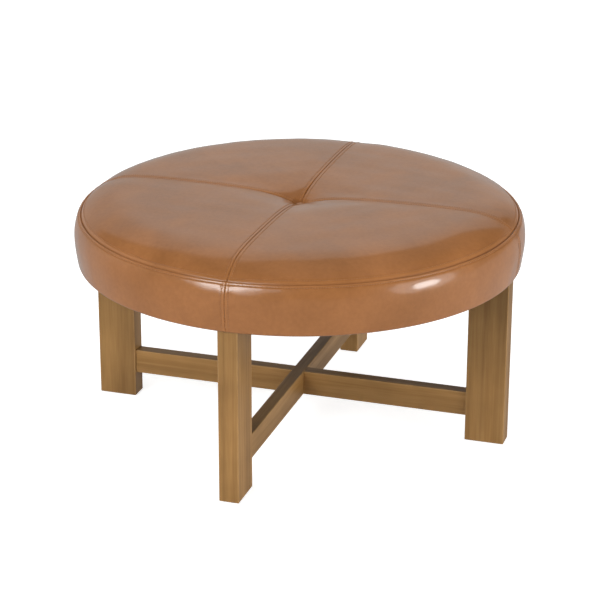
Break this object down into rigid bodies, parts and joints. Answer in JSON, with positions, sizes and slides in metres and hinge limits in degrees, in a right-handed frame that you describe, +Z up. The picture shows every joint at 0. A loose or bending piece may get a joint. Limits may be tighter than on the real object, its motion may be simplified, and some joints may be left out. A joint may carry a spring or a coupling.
{
  "type": "tufted ottoman",
  "caption": "Low round ottoman with a button-tufted leather drum seat on plain timber legs tied by crossed stretchers.",
  "frame": {"origin": "on the floor, under the middle of the round seat", "axes": "+Z up; X along the lower lapped stretcher, from the left leg to the right leg; the front leg stands on the -Y side"},
  "size_m": [0.914, 0.914, 0.4928],
  "materials": {
    "timber": "satin",
    "plain_timber": "matte",
    "zinc_steel": "satin",
    "nylon": "matte",
    "plywood": "matte",
    "foam": "matte",
    "wadding": "matte",
    "leather": "satin",
    "thread": "matte",
    "cambric": "matte"
  },
  "bodies": {
    "root": {"leg_front": "timber", "leg_back": "timber", "leg_left": "timber", "leg_right": "timber", "stretcher_over": "timber", "stretcher_under": "timber", "stretcher_dowels": "plain_timber", "top_rail_over": "plain_timber", "top_rail_under": "plain_timber", "top_rail_dowels": "plain_timber", "stretcher_lap_screw": "zinc_steel", "top_rail_lap_screw": "zinc_steel", "seat_bolts": "zinc_steel", "bolt_washers": "zinc_steel", "tee_nuts": "zinc_steel", "glide_nails": "zinc_steel", "button_shell": "zinc_steel", "twine_washer": "zinc_steel", "cover_staples": "zinc_steel", "dust_cover_staples": "zinc_steel", "glides": "nylon", "seat_board": "plywood", "foam_core": "foam", "wadding_wrap": "wadding", "top_panel_back_right": "leather", "top_panel_back_left": "leather", "top_panel_front_left": "leather", "top_panel_front_right": "leather", "band_panel_back_right": "leather", "band_panel_back_left": "leather", "band_panel_front_left": "leather", "band_panel_front_right": "leather", "button_cover": "leather", "tufting_twine": "thread", "dust_cover": "cambric"}
  },
  "joints": []
}
